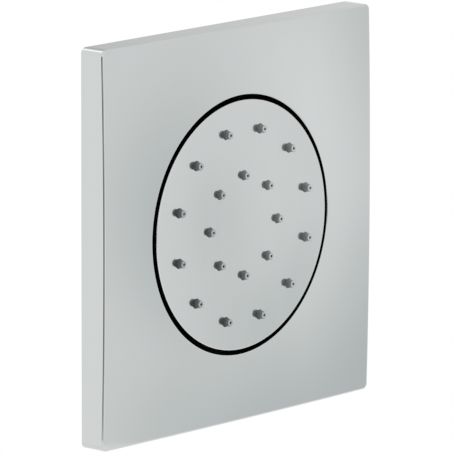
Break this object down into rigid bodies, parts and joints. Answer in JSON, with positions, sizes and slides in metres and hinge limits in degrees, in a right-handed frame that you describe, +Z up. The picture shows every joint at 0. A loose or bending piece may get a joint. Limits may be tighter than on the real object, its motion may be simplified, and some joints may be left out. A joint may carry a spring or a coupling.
{
  "type": "shower body jet",
  "caption": "Wall-mounted shower body jet with a domed square polished trim plate and a round aimable spray face.",
  "frame": {"origin": "middle of the wall plane, on the axis of the jet", "axes": "+Z up, +X to the right as seen from the room, +Y into the wall; the jet points along -Y"},
  "size_m": [0.12, 0.0552, 0.12],
  "materials": {
    "polished_chrome": "mirror polished",
    "nozzle_silicone": "satin soft moulding",
    "black_moulding": "fine spark texture",
    "grey_moulding": "satin moulded",
    "white_acetal": "smooth turned",
    "turned_brass": "fine turned",
    "black_rubber": "matt",
    "seal_foam": "closed-cell foam",
    "stainless_steel": "plain bright"
  },
  "bodies": {
    "wall_unit": {"trim_plate": "polished_chrome", "mounting_cup": "black_moulding", "wall_seal": "seal_foam", "wall_screws": "stainless_steel", "grip_bushes": "white_acetal", "inlet_body": "turned_brass", "cap_nut": "turned_brass", "ball_seal": "black_rubber", "flange_gasket": "black_rubber", "nut_washer": "stainless_steel", "lock_nut": "turned_brass", "inlet_filter": "stainless_steel", "flow_regulator": "grey_moulding", "regulator_ring": "black_rubber"},
    "swivel_ring": {"seat_ring": "white_acetal"},
    "spray_head": {"spray_face": "polished_chrome", "nozzle_mat": "nozzle_silicone", "spray_chamber": "grey_moulding", "clamp_ring": "turned_brass", "ball_stem": "turned_brass", "stem_washer": "black_rubber"}
  },
  "joints": [
    {"name": "head_turn", "type": "hinge", "parent": "wall_unit", "child": "swivel_ring", "pos_m": [0, 0.01355, 0], "axis": [0, -1, 0], "continuous": true},
    {"name": "head_tilt", "type": "hinge", "parent": "swivel_ring", "child": "spray_head", "pos_m": [0, 0.01355, 0], "axis": [1, 0, 0], "range_deg": [-10, 10]}
  ]
}
